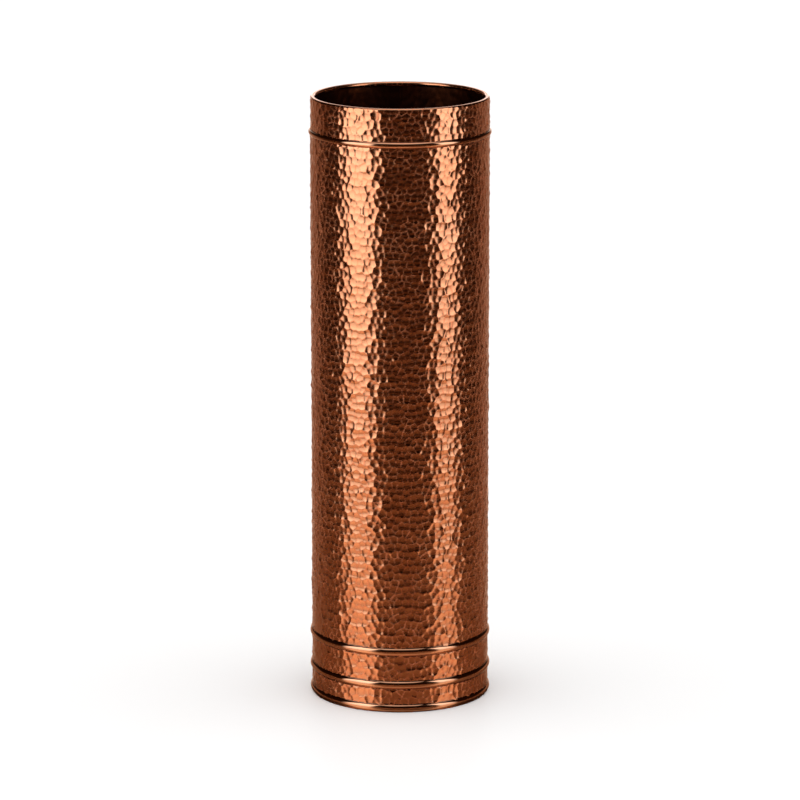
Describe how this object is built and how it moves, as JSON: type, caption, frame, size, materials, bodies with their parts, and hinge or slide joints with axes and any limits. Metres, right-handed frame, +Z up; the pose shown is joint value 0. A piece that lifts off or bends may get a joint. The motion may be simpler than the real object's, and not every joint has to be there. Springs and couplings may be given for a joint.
{
  "type": "umbrella stand",
  "caption": "Tall open cylinder of hammered sheet copper with a rolled lip, a smooth band near the top, smooth bands round the foot and a closed flat bottom.",
  "frame": {"origin": "centre of the bottom, on the floor", "axes": "+Z up along the cylinder's axis, towards the open mouth; the front is -Y, and all sides are alike"},
  "size_m": [0.1822, 0.1822, 0.61],
  "materials": {
    "hammered_copper": "hammered copper, polished and lacquered",
    "polished_copper": "smooth copper, bright polished",
    "base_copper": "plain rolled copper, dulled",
    "steel_wire": "drawn wire",
    "solder": "tin solder, dull"
  },
  "bodies": {
    "root": {"body_shell": "hammered_copper", "rim_wire": "steel_wire", "neck_band": "polished_copper", "base_band_upper": "polished_copper", "base_band_lower": "polished_copper", "foot_band": "polished_copper", "base_plate": "base_copper", "base_solder": "solder"}
  },
  "joints": []
}
